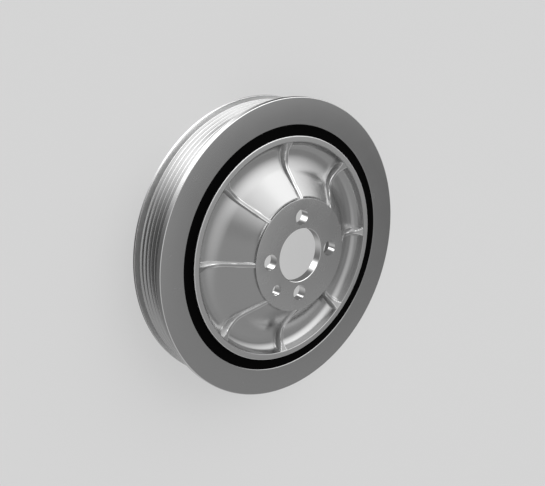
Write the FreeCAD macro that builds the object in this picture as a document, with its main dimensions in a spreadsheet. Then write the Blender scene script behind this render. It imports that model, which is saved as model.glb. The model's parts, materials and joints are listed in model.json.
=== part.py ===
import FreeCAD, Part
import os
import re

import Sketcher

# Harmonic balancer for a belt drive, lying on the rear face of its inertia ring.
# The origin is the middle of that face, +Z is the shaft's axis and points to the front.
# Heights in the comments are measured from the rear face, sizes are in millimetres.

SIZES = (
    # inertia ring
    ("ring_bore_diameter", 150.0),
    ("belt_wall", 8.6),
    ("front_flange_height", 4.5),
    ("front_flange_width", 5.0),
    ("rear_flange_height", 1.8),
    ("ring_edge_chamfer", 0.6),
    ("flange_corner_chamfer", 0.5),
    # poly-V belt grooves, the first one measured from the ring's rear face
    ("groove_count", 7),
    ("first_groove_height", 2.5),
    ("groove_pitch", 3.56),
    ("groove_depth", 2.9),
    ("groove_angle", 40.0),
    ("groove_crest", 0.48),
    ("groove_overshoot", 0.5),
    # rubber ring
    ("rubber_thickness", 6.4),
    ("rubber_recess", 0.4),
    # hub rim
    ("rim_proud", 0.9),
    ("rim_land_width", 3.5),
    ("rim_wall", 6.0),
    ("rim_draft", 2.0),
    ("rim_rear_setback", 1.0),
    ("rim_edge_chamfer", 0.5),
    # bolting flange
    ("flange_diameter", 68.2),
    ("flange_rise", 12.7),
    ("flange_thickness", 5.3),
    ("flange_step", 1.8),
    ("step_fillet", 2.5),
    ("bore_diameter", 32.6),
    ("bolt_circle_diameter", 46.5),
    ("bolt_hole_diameter", 9.4),
    ("bolt_count", 4),
    ("locator_radius", 25.5),
    ("locator_angle", 225.0),
    ("locator_diameter", 6.5),
    # web between flange and rim
    ("web_thickness", 5.5),
    ("cone_angle", 43.0),
    ("valley_depth", 5.4),
    ("valley_radius", 15.0),
    ("wall_angle", 75.0),
    ("wall_fillet", 5.5),
    ("rear_corner_chamfer", 2.5),
    ("rear_knee_chamfer", 4.0),
    # radial ribs
    ("rib_count", 8),
    ("rib_top_width", 2.4),
    ("rib_draft", 38.0),
    ("rib_root", 0.7),
    ("rib_drop", 0.4),
    ("rib_slope", 40.6),
    ("rib_sag", 1.7),
    ("rib_sweep_radius", 14.0),
    ("rib_rise_length", 6.6),
    ("rib_rise_radius", 8.0),
)

FULL_TURN = 360.0
# The most that one chamfer takes from the thin rear flange
SLIM_SHARE = 0.3

# The grooves and the front flange give the ring its width
HALF_GROOVE = "((groove_pitch - groove_crest) / 2)"
GROOVE_SLOPE = "tan(groove_angle / 2 * 1 deg)"
TRACK_TOP = f"(first_groove_height + (groove_count - 1) * groove_pitch + {HALF_GROOVE})"
WORKED_OUT = (("ring_width", f"{TRACK_TOP} + front_flange_width"),)

# Radii and heights that several sketches share, as formulas of the driving sizes
RING_BORE = "(ring_bore_diameter / 2)"
BELT_LAND = "(ring_bore_diameter / 2 + belt_wall + groove_depth)"
RIM = "(ring_bore_diameter / 2 - rubber_thickness)"
RIM_MOUTH = "(ring_bore_diameter / 2 - rubber_thickness - rim_land_width)"
RIM_FACE = "(ring_width + rim_proud)"
FLANGE = "(flange_diameter / 2)"
FLANGE_TOP = "(ring_width + flange_rise)"
FLANGE_BACK = "(ring_width + flange_rise - flange_thickness)"
CONE_TOP = "(ring_width + flange_rise - flange_step)"
VALLEY_FLOOR = "(ring_width - valley_depth)"
CONE_SLOPE = "tan(cone_angle * 1 deg)"
CONE_WALL = "(web_thickness / cos(cone_angle * 1 deg))"


def make_sheet(doc):
    """The driving dimensions and what follows from them: a label and a named value each."""
    sheet = doc.addObject("Spreadsheet::Sheet", "Sizes")
    rows = SIZES + tuple((alias, f"={formula}") for alias, formula in WORKED_OUT)
    for row, (alias, value) in enumerate(rows, start=1):
        sheet.set(f"A{row}", alias.replace("_", " "))
        sheet.set(f"B{row}", str(value))
        sheet.setAlias(f"B{row}", alias)
    doc.recompute()
    return sheet


def bound(formula):
    """The formula with each named size read from the sheet."""
    return re.sub(r"\b([a-z]+(?:_[a-z]+)+)\b", r"Sizes.\1", formula)


def value_of(body, formula):
    """What the formula comes to now."""
    result = body.evalExpression(bound(formula))
    return float(getattr(result, "Value", result))


def origin_part(body, role):
    """The body's own origin plane or axis with that role."""
    return next(part for part in body.Origin.OriginFeatures if part.Role == role)


def attached_sketch(body, name, role):
    """An empty sketch on one of the body's origin planes."""
    sketch = body.newObject("Sketcher::SketchObject", name)
    sketch.AttachmentSupport = [(origin_part(body, role), "")]
    sketch.MapMode = "FlatFace"
    return sketch


def pin_point(sketch, body, geometry, position, across, up):
    """Ties a point of the sketch to two formulas, measured from the origin."""
    for kind, formula in (("DistanceX", across), ("DistanceY", up)):
        here = value_of(body, formula)
        row = sketch.addConstraint(Sketcher.Constraint(kind, -1, 1, geometry, position, here))
        sketch.setExpression(f"Constraints[{row}]", bound(formula))


def outline(body, name, corners, role="XZ_Plane", closed=True):
    """A chain of lines. Each corner is its place across and up, and perhaps a round."""
    sketch = attached_sketch(body, name, role)
    points = [
        FreeCAD.Vector(value_of(body, across), value_of(body, up), 0) for across, up, _ in corners
    ]
    count = len(points) if closed else len(points) - 1
    for index in range(count):
        following = points[(index + 1) % len(points)]
        sketch.addGeometry(Part.LineSegment(points[index], following), False)
    for index in range(count if closed else count - 1):
        following = (index + 1) % count
        sketch.addConstraint(Sketcher.Constraint("Coincident", index, 2, following, 1))
    for index, (across, up, _) in enumerate(corners[:count]):
        pin_point(sketch, body, index, 1, across, up)
    if not closed:
        pin_point(sketch, body, count - 1, 2, corners[-1][0], corners[-1][1])
    for index, (_, _, rounding) in enumerate(corners):
        if rounding:
            round_corner(sketch, body, index, rounding)
    return sketch


def round_corner(sketch, body, corner, radius):
    """Rounds a corner of a chain, and ties the arc's radius to its formula."""
    size = value_of(body, radius)
    first_new = sketch.GeometryCount
    sketch.fillet(corner, 1, size, 1, True, False)
    arc = next(
        index
        for index in range(first_new, sketch.GeometryCount)
        if isinstance(sketch.Geometry[index], Part.ArcOfCircle)
    )
    row = sketch.addConstraint(Sketcher.Constraint("Radius", arc, size))
    sketch.setExpression(f"Constraints[{row}]", bound(radius))


def revolved(body, name, sketch, kind="PartDesign::Revolution"):
    """Turns a section all the way round the shaft's axis."""
    feature = body.newObject(kind, name)
    feature.Profile = sketch
    feature.ReferenceAxis = (origin_part(body, "Z_Axis"), [""])
    feature.Angle = FULL_TURN
    sketch.Visibility = False
    body.Document.recompute()
    return feature


def polar_copies(body, name, feature, count):
    """Repeats a feature evenly round the shaft's axis."""
    pattern = body.newObject("PartDesign::PolarPattern", name)
    pattern.Originals = [feature]
    pattern.Axis = (origin_part(body, "Z_Axis"), [""])
    pattern.Angle = FULL_TURN
    pattern.setExpression("Occurrences", bound(count))
    body.Tip = pattern
    body.Document.recompute()
    return pattern


def through_hole(body, name, diameter, across, up):
    """A round hole along the shaft's axis, right through the flange."""
    before = body.Shape.Volume
    sketch = attached_sketch(body, name + "_sketch", "XY_Plane")
    centre = FreeCAD.Vector(value_of(body, across), value_of(body, up), 0)
    axis = FreeCAD.Vector(0, 0, 1)
    sketch.addGeometry(Part.Circle(centre, axis, value_of(body, diameter) / 2), False)
    pin_point(sketch, body, 0, 3, across, up)
    row = sketch.addConstraint(Sketcher.Constraint("Diameter", 0, value_of(body, diameter)))
    sketch.setExpression(f"Constraints[{row}]", bound(diameter))
    pocket = body.newObject("PartDesign::Pocket", name)
    pocket.Profile = sketch
    pocket.Type = 1
    pocket.Reversed = True
    body.Document.recompute()
    if body.Shape.Volume >= before:
        raise RuntimeError(f"{name} cuts nothing")
    return pocket


def make_inertia_ring(doc):
    """The heavy outer ring, whose belt track lies between a tall front and a low rear flange."""
    body = doc.addObject("PartDesign::Body", "inertia_ring")
    land = BELT_LAND
    front = f"({land} + front_flange_height)"
    rear = f"({land} + rear_flange_height)"
    chamfer = "ring_edge_chamfer"
    corner = "flange_corner_chamfer"
    front_lip = f"({TRACK_TOP} + (front_flange_height - {corner}) * {GROOVE_SLOPE})"
    corner_rise = f"{corner} * (1 + {GROOVE_SLOPE})"
    rear_foot = f"(first_groove_height - {HALF_GROOVE})"
    rear_wall = f"({rear_foot} - groove_overshoot * {GROOVE_SLOPE})"
    slim_chamfer = f"min({chamfer}; {SLIM_SHARE} * {rear_wall})"
    slim_corner = f"min({corner}; {SLIM_SHARE} * {rear_wall})"
    section = outline(
        body,
        "ring_section",
        (
            (RING_BORE, "0", None),
            (RING_BORE, "ring_width", None),
            (f"{front} - {chamfer}", "ring_width", None),
            (front, f"ring_width - {chamfer}", None),
            (front, f"{front_lip} + {corner_rise}", None),
            (f"{front} - {corner}", front_lip, None),
            (land, TRACK_TOP, None),
            (land, rear_foot, None),
            (f"{land} + groove_overshoot", rear_wall, None),
            (f"{rear} - {slim_corner}", rear_wall, None),
            (rear, f"{rear_wall} - {slim_corner}", None),
            (rear, slim_chamfer, None),
            (f"{rear} - {slim_chamfer}", "0", None),
        ),
    )
    revolved(body, "ring_blank", section)
    cut_belt_grooves(body, land)
    return body


def cut_belt_grooves(body, land):
    """One V groove at the rear end of the track, repeated along the axis."""
    before = body.Shape.Volume
    middle = "first_groove_height"
    mouth = f"({HALF_GROOVE} + groove_overshoot * {GROOVE_SLOPE})"
    floor = f"({HALF_GROOVE} - groove_depth * {GROOVE_SLOPE})"
    section = outline(
        body,
        "groove_section",
        (
            (f"{land} + groove_overshoot", f"{middle} - {mouth}", None),
            (f"{land} - groove_depth", f"{middle} - {floor}", None),
            (f"{land} - groove_depth", f"{middle} + {floor}", None),
            (f"{land} + groove_overshoot", f"{middle} + {mouth}", None),
        ),
    )
    groove = revolved(body, "belt_groove", section, kind="PartDesign::Groove")
    if body.Shape.Volume >= before:
        raise RuntimeError("the belt groove cuts nothing")
    row = body.newObject("PartDesign::LinearPattern", "belt_grooves")
    row.Originals = [groove]
    row.Direction = (origin_part(body, "Z_Axis"), [""])
    row.setExpression("Length", bound("(groove_count - 1) * groove_pitch"))
    row.setExpression("Occurrences", bound("groove_count"))
    body.Tip = row
    body.Document.recompute()


def make_rubber_ring(doc):
    """The elastomer bonded between the hub's rim and the inertia ring."""
    body = doc.addObject("PartDesign::Body", "rubber_ring")
    top = "ring_width - rubber_recess"
    section = outline(
        body,
        "rubber_section",
        (
            (RIM, "rubber_recess + rim_rear_setback", None),
            (RIM, top, None),
            (RING_BORE, top, None),
            (RING_BORE, "rubber_recess + rim_rear_setback", None),
        ),
    )
    revolved(body, "rubber_band", section)
    return body


def make_hub(doc):
    """The casting: raised flange, dished web, ribs and rim, hollow at the rear."""
    body = doc.addObject("PartDesign::Body", "hub")
    revolved(body, "hub_blank", hub_section(body))
    polar_copies(body, "ribs", make_rib(body), "rib_count")
    through_hole(body, "locating_hole", "locator_diameter",
                 "locator_radius * cos(locator_angle * 1 deg)",
                 "locator_radius * sin(locator_angle * 1 deg)")
    bolt_hole = through_hole(body, "bolt_hole", "bolt_hole_diameter",
                             "bolt_circle_diameter / 2", "0")
    polar_copies(body, "bolt_holes", bolt_hole, "bolt_count")
    return body


def hub_section(body):
    """Half the hub cut along its axis: out along the front, then back along the rear."""
    bore = "(bore_diameter / 2)"
    fall = f"({CONE_TOP} - {VALLEY_FLOOR})"
    wall_foot = f"({RIM_MOUTH} - ({RIM_FACE} - {VALLEY_FLOOR}) / tan(wall_angle * 1 deg))"
    rim_inside = f"({RIM} - rim_wall)"
    rear_floor = f"({VALLEY_FLOOR} - web_thickness)"
    knee = f"({FLANGE} + ({fall} + web_thickness - {CONE_WALL}) / {CONE_SLOPE})"
    cone_foot = f"({FLANGE} + {fall} / {CONE_SLOPE})"
    valley = f"({wall_foot} - {cone_foot})"
    valley_round = f"min(valley_radius; 0.58 * {valley} / tan(cone_angle / 2 * 1 deg))"
    wall_round = f"min(wall_fillet; 0.4 * {valley} / tan(wall_angle / 2 * 1 deg))"
    flat = f"({rim_inside} - {knee})"
    corner_cut = f"min(rear_corner_chamfer; 0.35 * {flat})"
    hollow = f"({rear_floor} - {corner_cut})"
    knee_cut = f"min(rear_knee_chamfer; 0.5 * {flat})"
    seat_rim = f"({FLANGE} + (flange_thickness - flange_step - {CONE_WALL}) / {CONE_SLOPE})"
    return outline(
        body,
        "hub_section",
        (
            (bore, FLANGE_BACK, None),
            (bore, FLANGE_TOP, None),
            (FLANGE, FLANGE_TOP, None),
            (FLANGE, CONE_TOP, "step_fillet"),
            (cone_foot, VALLEY_FLOOR, valley_round),
            (wall_foot, VALLEY_FLOOR, wall_round),
            (RIM_MOUTH, RIM_FACE, None),
            (f"{RIM} - rim_edge_chamfer", RIM_FACE, None),
            (RIM, f"{RIM_FACE} - rim_edge_chamfer", None),
            (RIM, "rim_rear_setback", None),
            (f"{rim_inside} + ({hollow} - rim_rear_setback) * tan(rim_draft * 1 deg)",
             "rim_rear_setback", None),
            (rim_inside, hollow, None),
            (f"{rim_inside} - {corner_cut}", rear_floor, None),
            (f"{knee} + {knee_cut}", rear_floor, None),
            (f"{knee} - {knee_cut} * cos(cone_angle * 1 deg)",
             f"{rear_floor} + {knee_cut} * sin(cone_angle * 1 deg)", None),
            (seat_rim, FLANGE_BACK, None),
        ),
    )


def rib_line(body):
    """The line along a rib's top: down the cone, level over the valley, up to the rim."""
    top = f"({FLANGE_TOP} - rib_drop)"
    low = "(ring_width - rib_sag)"
    end = f"({RIM_FACE} - rib_drop)"
    rise = f"(({end} - {low}) / rib_rise_length)"
    cone_end = f"({FLANGE} + ({top} - {low}) / tan(rib_slope * 1 deg))"
    rise_start = f"({RIM_MOUTH} - rib_rise_length)"
    level = f"({rise_start} - {cone_end})"
    sweep = f"min(rib_sweep_radius; 0.7 * {level} / tan(rib_slope / 2 * 1 deg))"
    lift = f"min(rib_rise_radius; 0.5 * {level} / {rise})"
    return outline(
        body,
        "rib_line",
        (
            (f"{FLANGE} - rib_drop / 2 / tan(rib_slope * 1 deg)", f"{top} + rib_drop / 2", None),
            (cone_end, low, sweep),
            (rise_start, low, lift),
            (f"{RIM_MOUTH} + rib_drop / 2 / {rise}", f"{end} + rib_drop / 2", None),
        ),
        closed=False,
    )


def rib_section(body):
    """A rib cut across: a narrow flat top over flanks that spread towards the web."""
    half = "(rib_top_width / 2)"
    depth = "(valley_depth - rib_sag + rib_root)"
    foot = f"({half} + {depth} * tan(rib_draft * 1 deg))"
    sketch = outline(
        body,
        "rib_section",
        (
            (f"-{half}", "0", None),
            (half, "0", None),
            (foot, f"-{depth}", None),
            (f"-{foot}", f"-{depth}", None),
        ),
        role="YZ_Plane",
    )
    start = (
        ("Base.y", f"{FLANGE_TOP} - rib_drop / 2"),
        ("Base.z", f"{FLANGE} - rib_drop / 2 / tan(rib_slope * 1 deg)"),
        ("Rotation.Angle", "rib_slope * 1 deg"),
    )
    height_value, radius_value, slope_value = (value_of(body, formula) for _, formula in start)
    sketch.AttachmentOffset = FreeCAD.Placement(
        FreeCAD.Vector(0, height_value, radius_value),
        FreeCAD.Rotation(FreeCAD.Vector(1, 0, 0), slope_value),
    )
    for part, formula in start:
        sketch.setExpression(f"AttachmentOffset.{part}", bound(formula))
    return sketch


def make_rib(body):
    """One rib, its section swept along the line of its top."""
    before = body.Shape.Volume
    line = rib_line(body)
    section = rib_section(body)
    body.Document.recompute()
    rib = body.newObject("PartDesign::AdditivePipe", "rib")
    rib.Profile = section
    rib.Spine = (line, [])
    line.Visibility = False
    section.Visibility = False
    body.Document.recompute()
    if body.Shape.Volume <= before:
        raise RuntimeError("the rib adds nothing")
    return rib


def check(doc, bodies):
    """Stops if any object failed or any piece isn't one valid solid."""
    failed = [
        item.Name for item in doc.Objects if {"Invalid", "Error"} & set(item.State)
    ]
    if failed:
        raise RuntimeError(f"failed objects: {failed}")
    for body in bodies:
        shape = body.Shape
        if shape.isNull() or not shape.isValid() or len(shape.Solids) != 1:
            raise RuntimeError(f"{body.Label} is not one valid solid")


def main():
    """Builds the three pieces and writes one file for each."""
    doc = FreeCAD.newDocument("harmonic_balancer")
    make_sheet(doc)
    bodies = [make_hub(doc), make_rubber_ring(doc), make_inertia_ring(doc)]
    doc.recompute()
    check(doc, bodies)
    os.makedirs("parts", exist_ok=True)
    for body in bodies:
        body.Shape.exportStep(f"parts/{body.Label}.step")
        print(body.Label, round(body.Shape.Volume / 1000, 1), "cm3")


main()
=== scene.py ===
import json
import math

import bmesh
import bpy
from bpy.props import FloatProperty, FloatVectorProperty, IntProperty, PointerProperty
from mathutils import Matrix, Vector


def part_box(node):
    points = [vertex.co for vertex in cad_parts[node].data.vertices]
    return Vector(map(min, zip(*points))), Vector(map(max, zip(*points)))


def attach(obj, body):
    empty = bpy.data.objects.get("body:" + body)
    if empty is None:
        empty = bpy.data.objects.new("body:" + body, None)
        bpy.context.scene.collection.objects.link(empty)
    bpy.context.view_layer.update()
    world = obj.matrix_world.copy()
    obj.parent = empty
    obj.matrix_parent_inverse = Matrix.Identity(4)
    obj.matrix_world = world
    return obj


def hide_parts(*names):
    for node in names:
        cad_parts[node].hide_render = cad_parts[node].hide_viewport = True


bl_info = {
    "name": "Harmonic balancer",
    "version": (1, 0, 0),
    "blender": (4, 5, 0),
    "location": "View3D > Sidebar > Balancer",
    "description": "Dresses a crankshaft balancer: hub, rubber ring and grooved inertia ring",
    "category": "Add Mesh",
}

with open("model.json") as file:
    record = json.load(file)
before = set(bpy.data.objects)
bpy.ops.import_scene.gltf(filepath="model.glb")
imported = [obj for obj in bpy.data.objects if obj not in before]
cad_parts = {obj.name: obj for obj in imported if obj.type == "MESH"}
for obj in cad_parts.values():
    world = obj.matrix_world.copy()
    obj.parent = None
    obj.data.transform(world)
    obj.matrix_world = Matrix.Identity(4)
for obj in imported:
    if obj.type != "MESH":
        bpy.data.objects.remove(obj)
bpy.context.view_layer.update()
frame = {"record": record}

MM = 0.001
BODY = "root"
MOUNTS = {mount["name"]: mount for mount in frame["record"]["mounts"]}

# What the frame gives: every piece's outer size comes from here. The origin lies in the plane
# of the ring's rear face.
RING_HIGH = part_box("inertia_ring")[1]
HUB_LOW, HUB_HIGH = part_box("hub")
RUBBER_LOW, RUBBER_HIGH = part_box("rubber_ring")
RING_RADIUS = RING_HIGH.x
RING_FRONT = RING_HIGH.z
RING_REAR = 0.0
RIM_RADIUS = HUB_HIGH.x
FLANGE_TOP = HUB_HIGH.z
RIM_REAR = HUB_LOW.z
RUBBER_RADIUS = RUBBER_HIGH.x
RUBBER_FRONT = RUBBER_HIGH.z
RUBBER_REAR = RUBBER_LOW.z
BORE_RADIUS = MOUNTS["center_bore"]["dims"]["r_mm"] * MM
FLANGE_THICKNESS = MOUNTS["center_bore"]["dims"]["length_mm"] * MM
BOLT_CIRCLE = MOUNTS["bolt_circle"]["dims"]["pcd_mm"] * MM / 2
BOLT_COUNT = MOUNTS["bolt_circle"]["dims"]["count"]
BOLT_HOLE = MOUNTS["bolt_circle"]["dims"]["hole_r_mm"] * MM
LOCATOR_HOLE = MOUNTS["locator_hole"]["dims"]["r_mm"] * MM
LOCATOR_PLACE = Vector(MOUNTS["locator_hole"]["pos_m"])

# How finely rounds are cut: how far a chord may stray, and the least and the most turn of a step
ARC_ERROR = 0.004 * MM
ARC_STEPS = math.radians(3.0), math.radians(24.0)
# Steps round the axis, and how strongly the hub's steps crowd towards its ribs
RING_SEGMENTS = 480
HUB_SEGMENTS = 576
HUB_CROWDING = 0.72
DRILL_SEGMENTS = 96
# The longest stretch of the web's profile between two points: the ribs rise out of its points
WEB_STRETCH = 0.55 * MM
WELD = 1e-6
SHARP_ANGLE = math.radians(28)
# Painted highlight: how far metal's colour is lightened towards white on its edges, and the
# largest round that gets it
PAINTED_EDGE_HIGHLIGHT = 0.8
LARGEST_HIGHLIGHTED_ROUND = 1 * MM

# A profile corner's marks: 1 where the web carries ribs, and which of the piece's finishes it has
BASE = (0, 0)
SECOND = (0, 1)
WEB = (1, 1)
LAND = (0, 2)
FINE = (0, -1)
# The finishes after the base one. A face has the last one whose test its mean mark passes.
MARKED_MATERIALS = (
    ("Second material", "GREATER_THAN", 0.5),
    ("Land material", "GREATER_THAN", 1.5),
    ("Fine material", "LESS_THAN", -0.25),
)
LATHE_MATERIALS = ("Base material", *(name for name, _, _ in MARKED_MATERIALS))
# The marks as a point carries them. Its edge is 0 to 1, by how strongly a painted highlight
# lightens its colour.
POINT_MARKS = ("web", "finish", "edge")


def size(name, value, text):
    """A length in millimetres as a property in metres."""
    return FloatProperty(
        name=name, description=text, default=value * MM, min=0.0, precision=5, unit="LENGTH"
    )


def angle(name, degrees, text):
    """An angle property with its default in degrees."""
    return FloatProperty(
        name=name, description=text, default=math.radians(degrees), subtype="ANGLE"
    )


def linear(hex_colour):
    """An sRGB hex colour as linear red, green and blue."""
    parts = [int(hex_colour[place:place + 2], 16) / 255 for place in (1, 3, 5)]
    return [part / 12.92 if part <= 0.04045 else ((part + 0.055) / 1.055) ** 2.4 for part in parts]


def colour(name, hex_colour, text):
    """A colour property with its default as an sRGB hex value."""
    return FloatVectorProperty(
        name=name, description=text, default=linear(hex_colour), subtype="COLOR", min=0.0, max=1.0
    )


class RingSizes(bpy.types.PropertyGroup):
    """Sizes of the outer ring and the rubber."""

    rear_flange: size("Rear flange radius", 88.3, "Radius of the belt track's lower flange")
    belt_land: size("Belt land radius", 86.5, "Radius of the crests between the grooves")
    groove_count: IntProperty(name="Grooves", description="Belt grooves", default=7, min=1)
    first_groove: size("First groove", 2.5, "Height of the lowest groove's middle")
    groove_pitch: size("Groove pitch", 3.56, "Spacing of the belt grooves along the axis")
    groove_depth: size("Groove depth", 2.9, "Depth of each groove below the crests")
    groove_crest: size("Crest width", 0.48, "Flat left between two grooves")
    groove_half_angle: angle("Groove half angle", 20, "Slope of a groove's flank")
    groove_round: size("Groove round", 0.3, "Round at the bottom of each groove")
    crest_round: size("Crest round", 0.12, "Round on the crests")
    front_edge: size("Edge round", 0.45, "Round on the front flange's outer edge")
    rear_lip: size("Rear lip", 1.6, "Thickness of the rear flange")
    rear_land: size("Rear land", 0.3, "Part of the rear flange's wall that shines as its rim does")
    rear_round: size("Rear lip round", 0.24, "Round on the rear flange's edges")
    flange_round: size("Flange round", 0.7, "Round on the front flange's inner corner")
    bore_edge: size("Bore edge chamfer", 0.3, "Chamfer where the rubber meets the ring's face")
    rubber_dish: size("Rubber dish", 0.25, "How far the rubber sinks between the two metals")
    rubber_round: size("Rubber round", 12.0, "Round in the middle of the rubber's faces")


class HubSizes(bpy.types.PropertyGroup):
    """Sizes of the hub casting."""

    flange: size("Flange radius", 34.1, "Radius of the raised bolting flange")
    flange_step: size("Flange step", 1.8, "Height of the upright edge of the flange")
    step_fillet: size("Step fillet", 3.4, "Fillet between the flange and the cone")
    flange_edge: size("Flange edge round", 0.25, "Round on the flange's outer edge")
    cone_angle: angle("Cone angle", 43, "Slope of the web below the flange")
    valley_floor: size("Valley floor", 25.0, "Height of the web's lowest ring")
    valley_round: size("Valley round", 15.0, "Sweep from the cone into the valley")
    wall_angle: angle("Wall angle", 75, "Slope of the wall up to the rim")
    wall_fillet: size("Wall fillet", 5.5, "Fillet between the valley and the wall")
    mouth: size("Mouth radius", 65.1, "Inner radius of the rim's front face")
    mouth_round: size("Mouth round", 0.5, "Round on the rim's inner edge")
    rim_face: size("Rim face", 31.3, "Height of the rim's front face")
    rim_edge: size("Rim edge round", 0.5, "Round on the rim's outer edge")
    bore_edge: size("Bore edge chamfer", 0.3, "Chamfer at both ends of the centre bore")
    rim_wall: size("Rim wall", 6.0, "Thickness of the rim")
    rim_draft: angle("Rim draft", 2, "Slope of the rim's inner wall at the rear")
    web: size("Web thickness", 5.5, "Thickness of the web")
    rear_corner: size("Rear corner chamfer", 2.5, "Chamfer inside the rear hollow")
    rear_corner_round: size("Rear corner round", 1.5, "Round on that chamfer's edges")
    rear_knee: size("Rear knee chamfer", 4.0, "Chamfer at the bend in the web's rear")
    rear_knee_round: size("Rear knee round", 6.0, "Round on that chamfer's edges")


class RibSizes(bpy.types.PropertyGroup):
    """Sizes of the radial ribs."""

    count: IntProperty(name="Ribs", description="Ribs round the hub", default=8, min=1)
    drop: size("Top drop", 0.4, "How far a rib starts below the flange's face")
    slope: angle("Slope", 40.6, "Slope of a rib's top down the cone")
    low: size("Low height", 28.7, "Height of a rib's top over the valley")
    rise_start: size("Rise start", 58.5, "Radius where a rib's top starts to rise")
    rise: angle("Rise", 18.4, "Slope of a rib's top up to the rim")
    sweep: size("Sweep blend", 4.0, "Blend between the slope and the level stretch")
    rise_blend: size("Rise blend", 1.0, "Blend between the level stretch and the rise")
    half_top: size("Half top width", 1.05, "Half the width of a rib's flat top")
    edge_blend: size("Edge blend", 0.3, "Round on the edges of a rib's top")
    flank: FloatProperty(
        name="Flank", description="Steepness of a rib's side, as a tangent", default=3.6
    )
    foot_free: size("Foot free height", 1.2, "Height of a rib that has no foot fillet")
    foot_share: FloatProperty(
        name="Foot share", description="Foot fillet as a share of a rib's height", default=0.6
    )
    flare: size("Flare", 1.6, "How much wider each side of a rib grows at the rim")
    flare_start: size("Flare start", 58.0, "Radius where a rib starts to widen")
    painted_highlight: size("Painted highlight width", 0.7, "Width of the bright line along the edges of a rib's top")


class Finishes(bpy.types.PropertyGroup):
    """Colours of the surfaces and of the floor."""

    turned: colour("Turned iron", "#B8B8B8", "Turned faces of the hub")
    blasted: colour("Blasted iron", "#B4B4B4", "Blasted web of the hub")
    land: colour("Rim land", "#B0B0B0", "Narrow face of the hub's rim")
    bored: colour("Bored iron", "#E0E0E0", "Walls of holes, bore and rear flange")
    ring: colour("Ring iron", "#A4A4A4", "Turned faces of the inertia ring")
    track: colour("Track iron", "#BEBEBE", "Finely turned belt track")
    rubber: colour("Rubber", "#020202", "Moulded rubber")
    floor: colour("Floor", "#DADADA", "Floor and background")


# Node trees


def add_node(tree, kind, inputs=(), **settings):
    """Adds a node, sets its properties, and sets or links its inputs."""
    made = tree.nodes.new(kind)
    for name, value in settings.items():
        setattr(made, name, value)
    pairs = inputs.items() if isinstance(inputs, dict) else enumerate(inputs)
    for key, value in pairs:
        if isinstance(value, bpy.types.NodeSocket):
            tree.links.new(value, made.inputs[key])
        elif value is not None:
            made.inputs[key].default_value = value
    return made


def formula(tree, item):
    """Writes a formula into a tree: a number, a socket, or an operation with its items."""
    if not isinstance(item, tuple):
        return item
    operation, *items = item
    values = [formula(tree, value) for value in items]
    return add_node(tree, "ShaderNodeMath", values, operation=operation).outputs[0]


def new_geometry_tree(name, sockets):
    """An empty geometry tree with a mesh going in and out, and named inputs."""
    tree = bpy.data.node_groups.new(name, "GeometryNodeTree")
    tree.interface.new_socket("Mesh", in_out="OUTPUT", socket_type="NodeSocketGeometry")
    tree.interface.new_socket("Mesh", in_out="INPUT", socket_type="NodeSocketGeometry")
    for socket, kind in sockets:
        tree.interface.new_socket(socket, in_out="INPUT", socket_type=f"NodeSocket{kind}")
    return tree, add_node(tree, "NodeGroupInput").outputs


def set_marked_materials(tree, geometry, given):
    """Sets the materials that the faces' marks ask for."""
    mark = add_node(tree, "GeometryNodeInputNamedAttribute", ["finish"], data_type="FLOAT")
    for name, test, limit in MARKED_MATERIALS:
        geometry = add_node(
            tree,
            "GeometryNodeSetMaterial",
            {
                "Geometry": geometry,
                "Selection": formula(tree, (test, mark.outputs[0], limit)),
                "Material": given[name],
            },
        ).outputs[0]
    return geometry


def axis_distance(tree, place):
    """How far a place lies from the shaft's axis."""
    squares = ("ADD", ("POWER", place["X"], 2.0), ("POWER", place["Y"], 2.0))
    return formula(tree, ("SQRT", squares))


def add_tree(piece, tree, values):
    """Puts a tree on a piece as a modifier and sets its named inputs."""
    modifier = piece.modifiers.new(tree.name, "NODES")
    modifier.node_group = tree
    for item in tree.interface.items_tree:
        if item.item_type == "SOCKET" and item.in_out == "INPUT" and item.name in values:
            modifier[item.identifier] = values[item.name]


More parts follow.
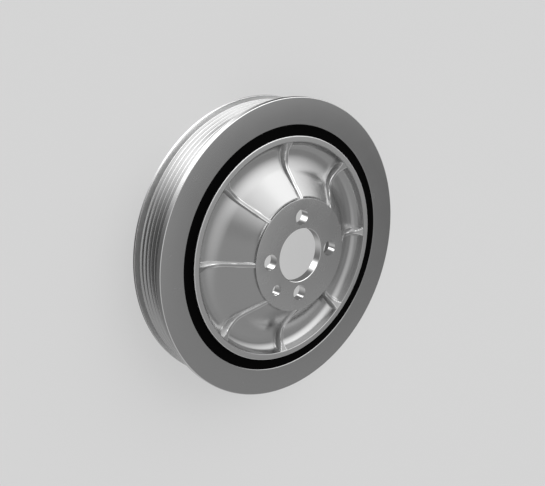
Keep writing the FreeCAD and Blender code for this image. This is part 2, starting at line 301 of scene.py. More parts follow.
def lathe_tree():
    """Turns a profile about the axis. Columns can crowd towards evenly spaced places."""
    tree, given = new_geometry_tree(
        "Lathe",
        [("Segments", "Int"), ("Places", "Int"), ("Crowding", "Float")]
        + [(name, "Material") for name in LATHE_MATERIALS],
    )
    points = add_node(
        tree, "GeometryNodeAttributeDomainSize", {"Geometry": given["Mesh"]}, component="MESH"
    ).outputs["Point Count"]
    shape = add_node(
        tree,
        "GeometryNodeMeshGrid",
        {
            "Size X": 1.0,
            "Size Y": 1.0,
            "Vertices X": formula(tree, ("ADD", given["Segments"], 1.0)),
            "Vertices Y": points,
        },
    ).outputs["Mesh"]
    position = add_node(tree, "GeometryNodeInputPosition").outputs[0]
    place = add_node(tree, "ShaderNodeSeparateXYZ", [position]).outputs

    # The grid's rows stand for the profile's points, and its columns for the turn
    row = ("MULTIPLY", ("ADD", place["Y"], 0.5), ("SUBTRACT", points, 1.0))
    row = formula(tree, ("ROUND", row))
    sector = formula(tree, ("MULTIPLY", ("ADD", place["X"], 0.5), given["Places"]))
    nearest = formula(tree, ("ROUND", sector))
    off = formula(tree, ("SUBTRACT", sector, nearest))
    spread = ("MULTIPLY", given["Crowding"], ("MULTIPLY", ("ABSOLUTE", off), 2.0))
    spread = ("ADD", ("SUBTRACT", 1.0, given["Crowding"]), spread)
    turn = ("ADD", nearest, ("MULTIPLY", off, spread))
    turn = formula(tree, ("MULTIPLY", ("DIVIDE", turn, given["Places"]), math.tau))

    for name in POINT_MARKS:
        mark = add_node(tree, "GeometryNodeInputNamedAttribute", [name], data_type="FLOAT")
        mark = add_node(
            tree,
            "GeometryNodeSampleIndex",
            {"Geometry": given["Mesh"], "Value": mark.outputs[0], "Index": row},
            data_type="FLOAT",
        )
        shape = add_node(
            tree,
            "GeometryNodeStoreNamedAttribute",
            {"Geometry": shape, "Name": name, "Value": mark.outputs[0]},
            data_type="FLOAT",
            domain="POINT",
        ).outputs[0]
    profile = add_node(
        tree,
        "GeometryNodeSampleIndex",
        {"Geometry": given["Mesh"], "Value": position, "Index": row},
        data_type="FLOAT_VECTOR",
    ).outputs[0]
    profile = add_node(tree, "ShaderNodeSeparateXYZ", [profile]).outputs
    turned = add_node(
        tree,
        "ShaderNodeCombineXYZ",
        [
            formula(tree, ("MULTIPLY", profile["X"], ("COSINE", turn))),
            formula(tree, ("MULTIPLY", profile["X"], ("SINE", turn))),
            profile["Z"],
        ],
    ).outputs[0]
    shape = add_node(
        tree, "GeometryNodeSetPosition", {"Geometry": shape, "Position": turned}
    ).outputs[0]
    shape = add_node(
        tree, "GeometryNodeMergeByDistance", {"Geometry": shape, "Distance": WELD}
    ).outputs[0]
    shape = add_node(tree, "GeometryNodeRealizeInstances", {"Geometry": shape}).outputs[0]
    shape = add_node(
        tree,
        "GeometryNodeSetMaterial",
        {"Geometry": shape, "Material": given[LATHE_MATERIALS[0]]},
    ).outputs[0]
    add_node(tree, "NodeGroupOutput", [set_marked_materials(tree, shape, given)])
    return tree


def rib_tree():
    """Raises radial ribs out of the part of a hub that is marked as its web."""
    lengths = (
        "Root radius", "Root height", "Low height", "Rise start", "Sweep blend", "Rise blend",
        "Half top", "Edge blend", "Foot free", "Flare", "Flare start", "Mouth radius",
        "Painted highlight width",
    )
    numbers = ("Slope", "Rise", "Flank", "Foot share")
    tree, given = new_geometry_tree(
        "Cast ribs",
        [("Count", "Int"), ("Material", "Material")]
        + [(name, "Float") for name in lengths + numbers],
    )
    position = add_node(tree, "GeometryNodeInputPosition").outputs[0]
    place = add_node(tree, "ShaderNodeSeparateXYZ", [position]).outputs
    radius = axis_distance(tree, place)
    pitch = formula(tree, ("DIVIDE", math.tau, given["Count"]))
    around = formula(tree, ("DIVIDE", ("ARCTAN2", place["Y"], place["X"]), pitch))
    off = ("MULTIPLY", ("SUBTRACT", around, ("ROUND", around)), pitch)
    aside = formula(tree, ("MULTIPLY", radius, ("SINE", ("ABSOLUTE", off))))

    # The ridge falls with the cone, runs level over the valley and rises to the rim
    slope = ("MULTIPLY", given["Slope"], ("SUBTRACT", radius, given["Root radius"]))
    slope = ("SUBTRACT", given["Root height"], slope)
    ridge = ("SMOOTH_MAX", slope, given["Low height"], given["Sweep blend"])
    rise = ("MULTIPLY", given["Rise"], ("SUBTRACT", radius, given["Rise start"]))
    rise = ("ADD", given["Low height"], rise)
    ridge = formula(tree, ("SMOOTH_MAX", ridge, rise, given["Rise blend"]))

    # The sides fall from a top that widens at the rim, and end in a foot fillet
    share = (
        "DIVIDE",
        ("SUBTRACT", radius, given["Flare start"]),
        ("SUBTRACT", given["Mouth radius"], given["Flare start"]),
    )
    share = ("MINIMUM", ("MAXIMUM", share, 0.0), 1.0)
    half = ("MULTIPLY", given["Flare"], ("POWER", share, 2.0))
    half = formula(tree, ("ADD", given["Half top"], half))
    fall = ("MULTIPLY", given["Flank"], ("SUBTRACT", aside, half))
    fall = ("SMOOTH_MAX", fall, 0.0, given["Edge blend"])
    tall = formula(tree, ("MAXIMUM", ("SUBTRACT", ridge, place["Z"]), WELD))
    foot = ("MAXIMUM", ("SUBTRACT", tall, given["Foot free"]), WELD)
    foot = ("MULTIPLY", foot, given["Foot share"])
    height = formula(tree, ("SMOOTH_MAX", place["Z"], ("SUBTRACT", ridge, fall), foot))
    raised = add_node(tree, "ShaderNodeCombineXYZ", [place["X"], place["Y"], height]).outputs[0]

    # A painted highlight follows the two edges of the top, and fades where a rib is low
    web = add_node(tree, "GeometryNodeInputNamedAttribute", ["web"], data_type="FLOAT").outputs[0]
    ribbed = formula(tree, ("GREATER_THAN", web, 0.5))
    edge = ("DIVIDE", ("ABSOLUTE", ("SUBTRACT", aside, half)), given["Painted highlight width"])
    edge = ("MAXIMUM", ("SUBTRACT", 1.0, edge), 0.0)
    fade = ("MINIMUM", ("DIVIDE", tall, given["Foot free"]), 1.0)
    edge = formula(tree, ("MULTIPLY", edge, fade))
    shape = add_node(
        tree,
        "GeometryNodeStoreNamedAttribute",
        {"Geometry": given["Mesh"], "Selection": ribbed, "Name": "edge", "Value": edge},
        data_type="FLOAT",
        domain="POINT",
    ).outputs[0]
    shape = add_node(
        tree,
        "GeometryNodeSetPosition",
        {"Geometry": shape, "Selection": ribbed, "Position": raised},
    ).outputs[0]
    shape = add_node(tree, "GeometryNodeRealizeInstances", {"Geometry": shape}).outputs[0]
    shape = add_node(
        tree,
        "GeometryNodeSetMaterial",
        {"Geometry": shape, "Selection": ribbed, "Material": given["Material"]},
    ).outputs[0]
    add_node(tree, "NodeGroupOutput", [shape])
    return tree


def hole_tree():
    """Drills a circle of bolt holes and one locating hole through a flange.

    The cut keeps the drills' mark on the walls that they leave, which get their own material.
    """
    tree, given = new_geometry_tree(
        "Drilled holes",
        (
            ("Count", "Int"), ("Circle radius", "Float"), ("Hole radius", "Float"),
            ("Locator radius", "Float"), ("Locator place", "Vector"), ("Height", "Float"),
            ("Depth", "Float"), ("Material", "Material"),
        ),
    )
    drill, locator = (
        add_node(
            tree,
            "GeometryNodeMeshCylinder",
            {"Vertices": DRILL_SEGMENTS, "Radius": given[radius], "Depth": given["Depth"]},
        ).outputs["Mesh"]
        for radius in ("Hole radius", "Locator radius")
    )
    ring = add_node(
        tree,
        "GeometryNodeMeshCircle",
        {"Vertices": given["Count"], "Radius": given["Circle radius"]},
    ).outputs[0]
    drills = add_node(
        tree, "GeometryNodeInstanceOnPoints", {"Points": ring, "Instance": drill}
    ).outputs[0]
    lift = add_node(tree, "ShaderNodeCombineXYZ", [0.0, 0.0, given["Height"]]).outputs[0]
    drills = add_node(tree, "GeometryNodeTransform", {"Geometry": drills, "Translation": lift})
    locator = add_node(
        tree,
        "GeometryNodeTransform",
        {"Geometry": locator, "Translation": given["Locator place"]},
    )
    tools = add_node(tree, "GeometryNodeJoinGeometry")
    for tool in (drills, locator):
        tree.links.new(tool.outputs[0], tools.inputs[0])
    tools = add_node(
        tree, "GeometryNodeRealizeInstances", {"Geometry": tools.outputs[0]}
    ).outputs[0]
    tools = add_node(
        tree,
        "GeometryNodeStoreNamedAttribute",
        {"Geometry": tools, "Name": "drilled", "Value": True},
        data_type="BOOLEAN",
        domain="FACE",
    ).outputs[0]
    cut = add_node(
        tree,
        "GeometryNodeMeshBoolean",
        {"Mesh 1": given["Mesh"], "Mesh 2": tools},
        operation="DIFFERENCE",
        solver="EXACT",
    ).outputs[0]
    cut = add_node(tree, "GeometryNodeRealizeInstances", {"Geometry": cut}).outputs[0]
    drilled = add_node(
        tree, "GeometryNodeInputNamedAttribute", ["drilled"], data_type="BOOLEAN"
    ).outputs[0]
    cut = add_node(
        tree,
        "GeometryNodeSetMaterial",
        {"Geometry": cut, "Selection": drilled, "Material": given["Material"]},
    ).outputs[0]
    add_node(tree, "NodeGroupOutput", [cut])
    return tree


# Profiles


def crossed(first, second):
    """Twice the area between two flat vectors, positive when the second lies to the left."""
    return first[0] * second[1] - first[1] * second[0]


def rounded(corners):
    """A profile's points. Each corner is a radius, a height, a round and its two marks.

    Each point gets a third mark, which is 1 in the middle of a small outer round: there the
    colour carries a painted highlight. A corner in the base finish gets no painted highlight.
    """
    points = []
    count = len(corners)
    area = sum(crossed(corners[index - 1], corners[index]) for index in range(count))
    for index, (radius, height, rounding, marks) in enumerate(corners):
        here = Vector((radius, height))
        if rounding <= 0:
            points.append((here, (*marks, 0.0)))
            continue
        before = Vector(corners[index - 1][:2]) - here
        after = Vector(corners[(index + 1) % count][:2]) - here
        # Painted highlight on small outer rounds outside the base finish, strongest mid-round
        highlighted = rounding < LARGEST_HIGHLIGHTED_ROUND and marks != BASE and crossed(after, before) * area > 0
        half = before.angle(after) / 2
        reach = rounding / math.tan(half)
        middle = here + (before.normalized() + after.normalized()).normalized() * (
            rounding / math.sin(half)
        )
        start = here + before.normalized() * reach - middle
        finish = here + after.normalized() * reach - middle
        sweep = start.angle_signed(finish)
        widest = 2 * math.acos(1 - min(ARC_ERROR / rounding, 1.0))
        widest = min(max(widest, ARC_STEPS[0]), ARC_STEPS[1])
        steps = max(2, math.ceil(abs(sweep) / widest))
        for step in range(steps + 1):
            turned = Matrix.Rotation(-sweep * step / steps, 2) @ start
            highlight = highlighted * math.sin(math.pi * step / steps)
            points.append((middle + turned, (*marks, highlight)))
    return points


def divided(points, longest):
    """The same profile with each stretch of the web cut into short pieces."""
    result = []
    for (here, marks), (after, after_marks) in zip(points, points[1:]):
        result.append((here, marks))
        if marks[0] and after_marks[0]:
            pieces = max(1, math.ceil((after - here).length / longest))
            result += [
                (here.lerp(after, piece / pieces), marks) for piece in range(1, pieces)
            ]
    return result + [points[-1]]


def profile_object(name, points):
    """A closed chain of edges in the XZ plane that carries the profile's marks."""
    points = [*points, points[0]]
    mesh = bpy.data.meshes.new(name)
    mesh.from_pydata(
        [(place.x, 0.0, place.y) for place, _ in points],
        [(index, index + 1) for index in range(len(points) - 1)],
        [],
    )
    for which, mark in enumerate(POINT_MARKS):
        layer = mesh.attributes.new(mark, "FLOAT", "POINT")
        layer.data.foreach_set("value", [float(marks[which]) for _, marks in points])
    piece = bpy.data.objects.new(name, mesh)
    bpy.context.scene.collection.objects.link(piece)
    return piece


def made_plain(piece, name):
    """Turns the modifiers' result into a plain, closed mesh with its faces outwards."""
    graph = bpy.context.evaluated_depsgraph_get()
    mesh = bpy.data.meshes.new_from_object(
        piece.evaluated_get(graph), preserve_all_data_layers=False, depsgraph=graph
    )
    mesh.name = name
    bpy.data.objects.remove(piece)
    shell = bmesh.new()
    shell.from_mesh(mesh)
    bmesh.ops.remove_doubles(shell, verts=shell.verts, dist=WELD)
    bmesh.ops.dissolve_degenerate(shell, dist=WELD, edges=shell.edges)
    bmesh.ops.recalc_face_normals(shell, faces=shell.faces)
    closed = all(edge.is_manifold for edge in shell.edges)
    shell.to_mesh(mesh)
    shell.free()
    if not closed:
        raise RuntimeError(f"{name} has open edges")
    for slot in reversed(range(len(mesh.materials))):
        if mesh.materials[slot] is None:
            mesh.materials.pop(index=slot)
    mesh.shade_smooth()
    mesh.set_sharp_from_angle(angle=SHARP_ANGLE)
    plain = bpy.data.objects.new(name, mesh)
    bpy.context.scene.collection.objects.link(plain)
    return plain


def turned_piece(name, profile, segments, materials, places=1, crowding=0.0):
    """A profile with the lathe on it, still live, so that more trees can follow."""
    piece = profile_object(name + "_profile", profile)
    tree = bpy.data.node_groups.get("Lathe") or lathe_tree()
    add_tree(
        piece,
        tree,
        {
            "Segments": segments,
            "Places": places,
            "Crowding": crowding,
            **dict(zip(LATHE_MATERIALS, materials)),
        },
    )
    return piece


def dress(piece, node):
    """Lets the piece stand for a CAD node: the piece goes on the root body and the node is hidden.
    """
    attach(piece, BODY)
    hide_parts(node)


# Materials


# Sizes of the surface detail in millimetres. Blasted grit and moulded grain are finer than
# this on the real part and wouldn't show, so they are drawn this coarse.
TURNED_LUMPS = 9.0
BLASTED_LUMPS = 6.0
BLASTED_GRIT = 0.7
MOULDED_GRAIN = 0.5
MARK_RELIEF = 0.02
GRAIN_RELIEF = 0.03
# How much roughness changes with the lumps, and with the lathe's marks
LUMP_ROUGHNESS = 0.03
MARK_ROUGHNESS = 0.012


def new_material(name):
    """A material and its tree, which is empty."""
    material = bpy.data.materials.new(name)
    material.use_nodes = True
    material.node_tree.nodes.clear()
    return material, material.node_tree


def close_material(tree, inputs):
    """Adds the Principled shader and the output."""
    surface = add_node(tree, "ShaderNodeBsdfPrincipled", inputs)
    add_node(tree, "ShaderNodeOutputMaterial", {"Surface": surface.outputs[0]})


def grain(tree, size_mm, detail=2.0):
    """Noise whose lumps are the given size, on Object coordinates."""
    place = add_node(tree, "ShaderNodeTexCoord").outputs["Object"]
    return add_node(
        tree,
        "ShaderNodeTexNoise",
        {"Vector": place, "Scale": 1 / (size_mm * MM), "Detail": detail},
    ).outputs[0]


def uneven(tree, lumps_mm, roughness):
    """A roughness that is slightly more or less from place to place."""
    low = roughness - LUMP_ROUGHNESS
    return formula(tree, ("MULTIPLY_ADD", grain(tree, lumps_mm), 2 * LUMP_ROUGHNESS, low))


def painted_highlight(tree, tint):
    """The tint, lightened towards white as a painted highlight where the surface turns over an
    edge.

    Inputs 6 and 7 and output 2 are the Mix node's colours.
    """
    highlighted = add_node(tree, "ShaderNodeAttribute", attribute_name="edge").outputs["Fac"]
    bright = [1 - (1 - part) * (1 - PAINTED_EDGE_HIGHLIGHT) for part in tint]
    return add_node(
        tree,
        "ShaderNodeMix",
        {"Factor": highlighted, 6: (*tint, 1.0), 7: (*bright, 1.0)},
        data_type="RGBA",
    ).outputs[2]


def turned_iron(name, tint, roughness, feed_mm):
    """Cast iron cut on a lathe: satin, with the faint concentric marks of the tool.

    The tool's feed is finer than this on the real part. It is drawn coarse enough to show.
    """
    material, tree = new_material(name)
    position = add_node(tree, "ShaderNodeTexCoord").outputs["Object"]
    place = add_node(tree, "ShaderNodeSeparateXYZ", [position]).outputs
    turns = ("MULTIPLY", axis_distance(tree, place), math.tau / (feed_mm * MM))
    marks = formula(tree, ("SINE", turns))
    bump = add_node(
        tree,
        "ShaderNodeBump",
        {"Height": marks, "Strength": 0.05, "Distance": MARK_RELIEF * MM},
    ).outputs[0]
    close_material(
        tree,
        {
            # The base colour carries a painted highlight on edges
            "Base Color": painted_highlight(tree, tint),
            "Metallic": 1.0,
            "Roughness": formula(
                tree,
                (
                    "ADD",
                    uneven(tree, TURNED_LUMPS, roughness),
                    ("MULTIPLY", marks, MARK_ROUGHNESS),
                ),
            ),
            "Normal": bump,
        },
    )
    return material


def blasted_iron(name, tint, roughness):
    """Cast iron blasted with fine grit: an even satin grey with a barely visible grain."""
    material, tree = new_material(name)
    bump = add_node(
        tree,
        "ShaderNodeBump",
        {
            "Height": grain(tree, BLASTED_GRIT, detail=3.0),
            "Strength": 0.08,
            "Distance": GRAIN_RELIEF * MM,
        },
    ).outputs[0]
    close_material(
        tree,
        {
            # The base colour carries a painted highlight on edges
            "Base Color": painted_highlight(tree, tint),
            "Metallic": 1.0,
            "Roughness": uneven(tree, BLASTED_LUMPS, roughness),
            "Normal": bump,
        },
    )
    return material


def moulded_rubber(name, tint):
    """Rubber bonded in a mould: deep black, nearly matt."""
    material, tree = new_material(name)
    bump = add_node(
        tree,
        "ShaderNodeBump",
        {
            "Height": grain(tree, MOULDED_GRAIN, detail=3.0),
            "Strength": 0.15,
            "Distance": GRAIN_RELIEF * MM,
        },
    ).outputs[0]
    close_material(
        tree,
        {
            "Base Color": (*tint, 1.0),
            "Roughness": 0.85,
            "Specular IOR Level": 0.04,
            "Normal": bump,
        },
    )
    return material


# Pieces


class BALANCER_OT_inertia_ring(bpy.types.Operator):
    """Makes the heavy outer ring with its belt track"""

    bl_idname = "balancer.inertia_ring"
    bl_label = "Inertia ring"

    def execute(self, context):
        sizes = context.scene.balancer_ring
        finishes = context.scene.balancer_finishes
        slope = math.tan(sizes.groove_half_angle)
        half_mouth = (sizes.groove_pitch - sizes.groove_crest) / 2
        half_floor = half_mouth - sizes.groove_depth * slope
        first = sizes.first_groove
        last = first + (sizes.groove_count - 1) * sizes.groove_pitch
        land, rear = sizes.belt_land, sizes.rear_flange
        bottom = land - sizes.groove_depth
        front_lip = last + half_mouth + (RING_RADIUS - land) * slope
        bore, bore_edge = RUBBER_RADIUS, sizes.bore_edge
        corners = [
            (bore + bore_edge, RING_REAR, 0.0, BASE),
            (rear, RING_REAR, sizes.rear_round, SECOND),
            (rear, sizes.rear_lip, sizes.rear_round, SECOND),
            (rear - sizes.rear_land, sizes.rear_lip, 0.0, FINE),
        ]
        for index in range(sizes.groove_count):
            centre = first + index * sizes.groove_pitch
            if index:
                corners.append((land, centre - half_mouth, sizes.crest_round, SECOND))
            corners += [
                (bottom, centre - half_floor, sizes.groove_round, SECOND if index else FINE),
                (bottom, centre + half_floor, sizes.groove_round, SECOND),
            ]
            if index < sizes.groove_count - 1:
                corners.append((land, centre + half_mouth, sizes.crest_round, SECOND))
        corners += [
            (RING_RADIUS, front_lip, sizes.flange_round, SECOND),
            (RING_RADIUS, RING_FRONT, sizes.front_edge, SECOND),
            (bore + bore_edge, RING_FRONT, 0.0, BASE),
            (bore, RING_FRONT - bore_edge, 0.0, BASE),
            (bore, RING_REAR + bore_edge, 0.0, BASE),
        ]
        points = rounded(corners)
        iron = turned_iron("turned_ring_iron", finishes.ring, roughness=0.25, feed_mm=0.5)
        track = turned_iron("turned_track_iron", finishes.track, roughness=0.16, feed_mm=0.25)
        wall = turned_iron("turned_flange_iron", finishes.bored, roughness=0.35, feed_mm=0.25)
        piece = turned_piece("ring_body", points, RING_SEGMENTS, (iron, track, track, wall))
        dress(made_plain(piece, "ring_body"), "inertia_ring")
        return {"FINISHED"}


class BALANCER_OT_rubber_ring(bpy.types.Operator):
    """Makes the rubber between the hub and the inertia ring"""

    bl_idname = "balancer.rubber_ring"
    bl_label = "Rubber ring"

    def execute(self, context):
        sizes = context.scene.balancer_ring
        dish = sizes.rubber_dish
        middle = (RIM_RADIUS + RUBBER_RADIUS) / 2
        corners = [
            (RIM_RADIUS, RUBBER_REAR, 0.0, BASE),
            (middle, RUBBER_REAR + dish, sizes.rubber_round, BASE),
            (RUBBER_RADIUS, RUBBER_REAR, 0.0, BASE),
            (RUBBER_RADIUS, RUBBER_FRONT, 0.0, BASE),
            (middle, RUBBER_FRONT - dish, sizes.rubber_round, BASE),
            (RIM_RADIUS, RUBBER_FRONT, 0.0, BASE),
        ]
        points = rounded(corners)
        rubber = moulded_rubber("moulded_rubber", context.scene.balancer_finishes.rubber)
        materials = [rubber] * len(LATHE_MATERIALS)
        piece = turned_piece("rubber_band", points, RING_SEGMENTS, materials)
        dress(made_plain(piece, "rubber_band"), "rubber_ring")
        return {"FINISHED"}


class BALANCER_OT_hub(bpy.types.Operator):
    """Makes the hub casting with its ribs and holes"""

    bl_idname = "balancer.hub"
    bl_label = "Hub"

    def execute(self, context):
        hub = context.scene.balancer_hub
        ribs = context.scene.balancer_ribs
        finishes = context.scene.balancer_finishes
        slope = math.tan(hub.cone_angle)
        seat = FLANGE_TOP - FLANGE_THICKNESS
        cone_top = FLANGE_TOP - hub.flange_step
        fall = cone_top - hub.valley_floor
        foot = hub.mouth - (hub.rim_face - hub.valley_floor) / math.tan(hub.wall_angle)
        rear_floor = hub.valley_floor - hub.web
        cone_wall = hub.web / math.cos(hub.cone_angle)
        knee = hub.flange + (fall + hub.web - cone_wall) / slope
        seat_rim = hub.flange + (FLANGE_THICKNESS - hub.flange_step - cone_wall) / slope
        inside = RIM_RADIUS - hub.rim_wall
        hollow = rear_floor - hub.rear_corner
        draft = (hollow - RIM_REAR) * math.tan(hub.rim_draft)
        corners = [
            (BORE_RADIUS, FLANGE_TOP - hub.bore_edge, 0.0, FINE),
            (BORE_RADIUS + hub.bore_edge, FLANGE_TOP, 0.0, BASE),
            (hub.flange, FLANGE_TOP, hub.flange_edge, BASE),
            (hub.flange, cone_top, hub.step_fillet, WEB),
            (hub.flange + fall / slope, hub.valley_floor, hub.valley_round, WEB),
            (foot, hub.valley_floor, hub.wall_fillet, WEB),
            (hub.mouth, hub.rim_face, hub.mouth_round, WEB),
            (hub.mouth + hub.mouth_round, hub.rim_face, 0.0, LAND),
            (RIM_RADIUS, hub.rim_face, hub.rim_edge, LAND),
            (RIM_RADIUS, RIM_REAR, 0.0, BASE),
            (inside + draft, RIM_REAR, 0.0, BASE),
            (inside, hollow, hub.rear_corner_round, SECOND),
            (inside - hub.rear_corner, rear_floor, hub.rear_corner_round, SECOND),
            (knee + hub.rear_knee, rear_floor, hub.rear_knee_round, SECOND),
            (
                knee - hub.rear_knee * math.cos(hub.cone_angle),
                rear_floor + hub.rear_knee * math.sin(hub.cone_angle),
                hub.rear_knee_round,
                SECOND,
            ),
            (seat_rim, seat, 0.0, SECOND),
            (BORE_RADIUS + hub.bore_edge, seat, 0.0, BASE),
            (BORE_RADIUS, seat + hub.bore_edge, 0.0, FINE),
        ]
        points = divided(rounded(corners), WEB_STRETCH)
        turned = turned_iron("turned_hub_iron", finishes.turned, roughness=0.26, feed_mm=0.4)
        blasted = blasted_iron("blasted_hub_iron", finishes.blasted, roughness=0.25)
        land = blasted_iron("blasted_rim_iron", finishes.land, roughness=0.5)
        bored = turned_iron("bored_hub_iron", finishes.bored, roughness=0.12, feed_mm=0.2)
        piece = turned_piece(
            "hub_body",
            points,
            HUB_SEGMENTS,
            (turned, blasted, land, bored),
            ribs.count,
            HUB_CROWDING,
        )
        add_tree(
            piece,
            rib_tree(),
            {
                "Count": ribs.count,
                "Material": blasted,
                "Root radius": hub.flange,
                "Root height": FLANGE_TOP - ribs.drop,
                "Slope": math.tan(ribs.slope),
                "Low height": ribs.low,
                "Rise start": ribs.rise_start,
                "Rise": math.tan(ribs.rise),
                "Sweep blend": ribs.sweep,
                "Rise blend": ribs.rise_blend,
                "Half top": ribs.half_top,
                "Edge blend": ribs.edge_blend,
                "Flank": ribs.flank,
                "Foot free": ribs.foot_free,
                "Foot share": ribs.foot_share,
                "Flare": ribs.flare,
                "Flare start": ribs.flare_start,
                "Mouth radius": hub.mouth,
                "Painted highlight width": ribs.painted_highlight,
            },
        )
        add_tree(
            piece,
            hole_tree(),
            {
                "Count": BOLT_COUNT,
                "Circle radius": BOLT_CIRCLE,
                "Hole radius": BOLT_HOLE,
                "Locator radius": LOCATOR_HOLE,
                "Locator place": LOCATOR_PLACE,
                "Height": FLANGE_TOP - FLANGE_THICKNESS / 2,
                "Depth": 2 * FLANGE_THICKNESS,
                "Material": bored,
            },
        )
        dress(made_plain(piece, "hub_body"), "hub")
        return {"FINISHED"}


# Stage


# The camera's place and turn, found from the ellipses of the round faces
CAMERA_PLACE = Vector((-0.3752, 0.1767, 0.4467))
CAMERA_RIGHT = Vector((0.75725, 0.02339, 0.65271))
CAMERA_UP = Vector((0.17535, 0.95539, -0.23766))
CAMERA_LENS = 65.1
SENSOR_WIDTH = 36.0
NEAR_CLIP = 0.01

# The dome's bright side: where it is, its level over the rest, how wide it is as a cosine, and
# how fast it falls off
LIGHT_AZIMUTH = math.radians(66)
LIGHT_HEIGHT = math.radians(14)
DOME_LEVEL = 0.25
DOME_PEAK = 1.5
DOME_EDGE = 0.29
DOME_FALL = 1.0
# A weaker light high above the part
HIGH_AZIMUTH = math.radians(70)
HIGH_HEIGHT = math.radians(72)
HIGH_LEVEL = 0.5
HIGH_EDGE = 0.7
# A fill lights the half of the dome across from the bright side. Its border is this wide as a
# cosine. The mirrored floor has a painted fill glow at the same azimuth.
FILL_AZIMUTH = math.radians(246)
FILL_LEVEL = 0.23
FILL_WIDTH = 0.3
# A round softbox stands in the bright side and throws the part's shadow
SOFTBOX_DISTANCE = 1.6
SOFTBOX_WIDTH = 1.4
SOFTBOX_POWER = 1.5
# The floor reaches past the view and lies just under the ring, so that no two faces meet
FLOOR_REACH = 6.0
FLOOR_DROP = 0.05 * MM
# The floor as the camera sees it, and as the metal mirrors it: for mirrored rays a painted pool of
# light on one side and a weaker painted fill glow across from it
FLOOR_GLOW = 0.7
PAINTED_POOL_AZIMUTH = math.radians(126)
MIRRORED_LEVEL = 0.28
PAINTED_POOL_PEAK = 4.4
PAINTED_POOL_FALL = 15.0
PAINTED_FILL_PEAK = 0.5
PAINTED_FILL_FALL = 4.0


def towards(azimuth, height):
    """A unit vector at an azimuth and a height above the floor."""
    level = math.cos(height)
    return Vector((level * math.cos(azimuth), level * math.sin(azimuth), math.sin(height)))


def lobe(tree, place, direction, edge, fall):
    """A light spot on a unit sphere: 1 in the middle, 0 from a given cosine outwards."""
    cosine = add_node(
        tree, "ShaderNodeVectorMath", [place, tuple(direction)], operation="DOT_PRODUCT"
    ).outputs["Value"]
    share = ("DIVIDE", ("SUBTRACT", cosine, edge), 1 - edge)
    return formula(tree, ("POWER", ("MAXIMUM", share, 0.0), fall))


def make_floor(tint):
    """A pale floor under the ring's rear face, large enough to fill the view. Metal mirrors it
    with a painted pool of light.
    """
    mesh = bpy.data.meshes.new("floor")
    corners = [(-1, -1), (1, -1), (1, 1), (-1, 1)]
    mesh.from_pydata([(x * FLOOR_REACH, y * FLOOR_REACH, 0) for x, y in corners], [], [range(4)])
    floor = bpy.data.objects.new("floor", mesh)
    floor.location.z = -FLOOR_DROP
    material, tree = new_material("matt_floor")
    ray = add_node(tree, "ShaderNodeLightPath").outputs
    mirrored = formula(tree, ("MAXIMUM", ray["Is Glossy Ray"], ray["Is Transmission Ray"]))
    seen = formula(tree, ("MAXIMUM", ("MULTIPLY", ray["Is Camera Ray"], FLOOR_GLOW), mirrored))
    place = add_node(
        tree,
        "ShaderNodeVectorMath",
        [add_node(tree, "ShaderNodeTexCoord").outputs["Object"]],
        operation="NORMALIZE",
    ).outputs["Vector"]
    # Painted pool of light: for mirrored rays the floor glows brighter towards one azimuth, with a
    # weaker painted fill across
    main = lobe(tree, place, towards(PAINTED_POOL_AZIMUTH, 0.0), 0.0, PAINTED_POOL_FALL)
    fill = lobe(tree, place, towards(FILL_AZIMUTH, 0.0), 0.0, PAINTED_FILL_FALL)
    level = ("ADD", ("MULTIPLY", main, PAINTED_POOL_PEAK), MIRRORED_LEVEL)
    level = ("ADD", ("MULTIPLY", fill, PAINTED_FILL_PEAK), level)
    level = formula(tree, ("ADD", ray["Is Camera Ray"], ("MULTIPLY", level, mirrored)))
    matt = add_node(
        tree,
        "ShaderNodeBsdfPrincipled",
        {"Base Color": (*tint, 1.0), "Roughness": 0.9, "Specular IOR Level": 0.1},
    )
    glow = add_node(tree, "ShaderNodeEmission", {"Color": (*tint, 1.0), "Strength": level})
    mix = add_node(tree, "ShaderNodeMixShader", [seen, matt.outputs[0], glow.outputs[0]])
    add_node(tree, "ShaderNodeOutputMaterial", {"Surface": mix.outputs[0]})
    mesh.materials.append(material)
    bpy.context.scene.collection.objects.link(floor)


def make_world(tint):
    """A soft dome that is brighter on one side. The camera sees it as the floor's colour."""
    world = bpy.data.worlds.new("studio")
    world.use_nodes = True
    tree = world.node_tree
    tree.nodes.clear()
    sky = add_node(tree, "ShaderNodeTexCoord").outputs["Generated"]
    main = lobe(tree, sky, towards(LIGHT_AZIMUTH, LIGHT_HEIGHT), DOME_EDGE, DOME_FALL)
    high = lobe(tree, sky, towards(HIGH_AZIMUTH, HIGH_HEIGHT), HIGH_EDGE, 1.0)
    away = add_node(
        tree,
        "ShaderNodeVectorMath",
        [sky, tuple(towards(FILL_AZIMUTH, 0.0))],
        operation="DOT_PRODUCT",
    ).outputs["Value"]
    fill = add_node(
        tree,
        "ShaderNodeMapRange",
        {
            "Value": away,
            "From Min": -FILL_WIDTH / 2,
            "From Max": FILL_WIDTH / 2,
            "To Max": FILL_LEVEL,
        },
    ).outputs[0]
    level = ("ADD", ("MULTIPLY", main, DOME_PEAK), DOME_LEVEL)
    level = ("ADD", ("MULTIPLY", high, HIGH_LEVEL), level)
    level = formula(tree, ("ADD", level, fill))
    dome = add_node(tree, "ShaderNodeBackground", {"Color": (1, 1, 1, 1), "Strength": level})
    plain = add_node(tree, "ShaderNodeBackground", {"Color": (*tint, 1.0), "Strength": 1.0})
    seen = add_node(tree, "ShaderNodeLightPath").outputs["Is Camera Ray"]
    mix = add_node(tree, "ShaderNodeMixShader", [seen, dome.outputs[0], plain.outputs[0]])
    add_node(tree, "ShaderNodeOutputWorld", {"Surface": mix.outputs[0]})
    bpy.context.scene.world = world


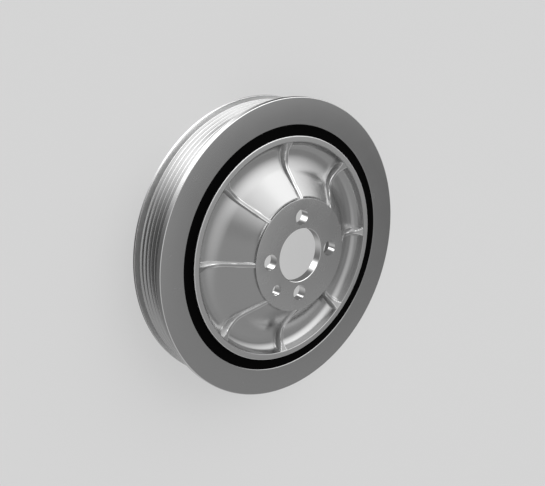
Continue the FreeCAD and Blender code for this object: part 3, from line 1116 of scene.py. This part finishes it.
def make_softbox(direction):
    """A round softbox on the dome's bright side, turned to face the part."""
    lamp = bpy.data.lights.new("softbox", "AREA")
    lamp.shape = "DISK"
    lamp.size = SOFTBOX_WIDTH
    lamp.energy = SOFTBOX_POWER
    holder = bpy.data.objects.new("softbox", lamp)
    holder.location = direction * SOFTBOX_DISTANCE
    holder.rotation_euler = direction.to_track_quat("Z", "Y").to_euler()
    bpy.context.scene.collection.objects.link(holder)


def make_camera():
    """The camera at the photograph's place and turn."""
    camera = bpy.data.cameras.new("camera")
    camera.lens = CAMERA_LENS
    camera.sensor_width = SENSOR_WIDTH
    camera.clip_start = NEAR_CLIP
    holder = bpy.data.objects.new("camera", camera)
    back = CAMERA_RIGHT.cross(CAMERA_UP)
    turn = Matrix((CAMERA_RIGHT, CAMERA_UP, back)).transposed()
    holder.matrix_world = Matrix.Translation(CAMERA_PLACE) @ turn.to_4x4()
    bpy.context.scene.collection.objects.link(holder)
    bpy.context.scene.camera = holder


class BALANCER_OT_stage(bpy.types.Operator):
    """Makes the floor, the lamp, the world and the camera"""

    bl_idname = "balancer.stage"
    bl_label = "Stage"

    def execute(self, context):
        tint = context.scene.balancer_finishes.floor
        make_floor(tint)
        make_world(tint)
        make_softbox(towards(LIGHT_AZIMUTH, LIGHT_HEIGHT))
        make_camera()
        return {"FINISHED"}


# Add-on


class BALANCER_PT_panel(bpy.types.Panel):
    """Lists the pieces in the sidebar"""

    bl_idname = "BALANCER_PT_panel"
    bl_label = "Harmonic balancer"
    bl_space_type = "VIEW_3D"
    bl_region_type = "UI"
    bl_category = "Balancer"

    def draw(self, context):
        for operator in OPERATORS:
            self.layout.operator(operator.bl_idname)
        for name in GROUPS:
            group = getattr(context.scene, name)
            box = self.layout.box()
            for key in group.__annotations__:
                box.prop(group, key)


OPERATORS = (
    BALANCER_OT_inertia_ring,
    BALANCER_OT_rubber_ring,
    BALANCER_OT_hub,
    BALANCER_OT_stage,
)
GROUPS = {
    "balancer_ring": RingSizes,
    "balancer_hub": HubSizes,
    "balancer_ribs": RibSizes,
    "balancer_finishes": Finishes,
}


def register():
    """Registers the property groups, operators and panel."""
    for group in GROUPS.values():
        bpy.utils.register_class(group)
    for operator in (*OPERATORS, BALANCER_PT_panel):
        bpy.utils.register_class(operator)
    for name, group in GROUPS.items():
        setattr(bpy.types.Scene, name, PointerProperty(type=group))


def unregister():
    """Takes everything away again."""
    for name in GROUPS:
        delattr(bpy.types.Scene, name)
    for operator in (*OPERATORS, BALANCER_PT_panel):
        bpy.utils.unregister_class(operator)
    for group in GROUPS.values():
        bpy.utils.unregister_class(group)


def main():
    """Makes every piece and the stage."""
    register()
    bpy.ops.balancer.inertia_ring()
    bpy.ops.balancer.rubber_ring()
    bpy.ops.balancer.hub()
    bpy.ops.balancer.stage()
    bpy.context.scene.view_settings.view_transform = "Standard"
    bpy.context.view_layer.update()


if __name__ == "__main__":
    main()
